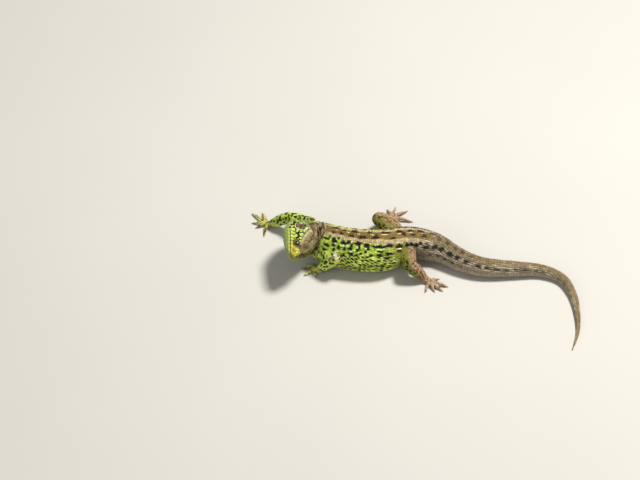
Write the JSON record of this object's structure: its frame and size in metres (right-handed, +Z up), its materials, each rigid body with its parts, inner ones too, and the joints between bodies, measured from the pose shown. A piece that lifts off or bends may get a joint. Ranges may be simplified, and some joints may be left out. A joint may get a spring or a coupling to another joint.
{
  "type": "sand lizard",
  "caption": "Still, life-size male sand lizard in green breeding dress, basking with its forebody raised and its head turned to its left, 201 mm along the body.",
  "frame": {"origin": "on the flat of the belly, under the middle of the trunk", "axes": "+Z up from the floor, the animal's forward direction along -X (snout side), its left side towards -Y and its right side towards +Y"},
  "size_m": [0.1577, 0.096, 0.0246],
  "materials": {
    "crown_scales": "smooth horny shields, brown",
    "cheek_scales": "satin scales, yellow-green with black net",
    "back_scales": "satin keeled scales, brown back and green flanks with black blotches",
    "tail_scales": "satin keeled scales in whorls, grey-brown",
    "limb_scales": "satin scales, green with black spots",
    "thigh_scales": "satin fine scales, pink-brown with dark spots",
    "eye": "wet, glossy, dark",
    "eardrum": "thin smooth membrane, dark brown"
  },
  "bodies": {
    "root": {"head": "crown_scales", "lower_jaw": "cheek_scales", "eye_left": "eye", "eye_right": "eye", "ear_left": "eardrum", "ear_right": "eardrum", "neck": "cheek_scales", "trunk": "back_scales", "tail_base": "tail_scales", "tail_middle": "tail_scales", "tail_rear": "tail_scales", "tail_tip": "tail_scales", "upper_arm_left": "limb_scales", "forearm_left": "limb_scales", "hand_left": "limb_scales", "thigh_left": "thigh_scales", "shank_left": "thigh_scales", "foot_left": "thigh_scales", "upper_arm_right": "limb_scales", "forearm_right": "limb_scales", "hand_right": "limb_scales", "thigh_right": "thigh_scales", "shank_right": "thigh_scales", "foot_right": "thigh_scales"}
  },
  "joints": []
}
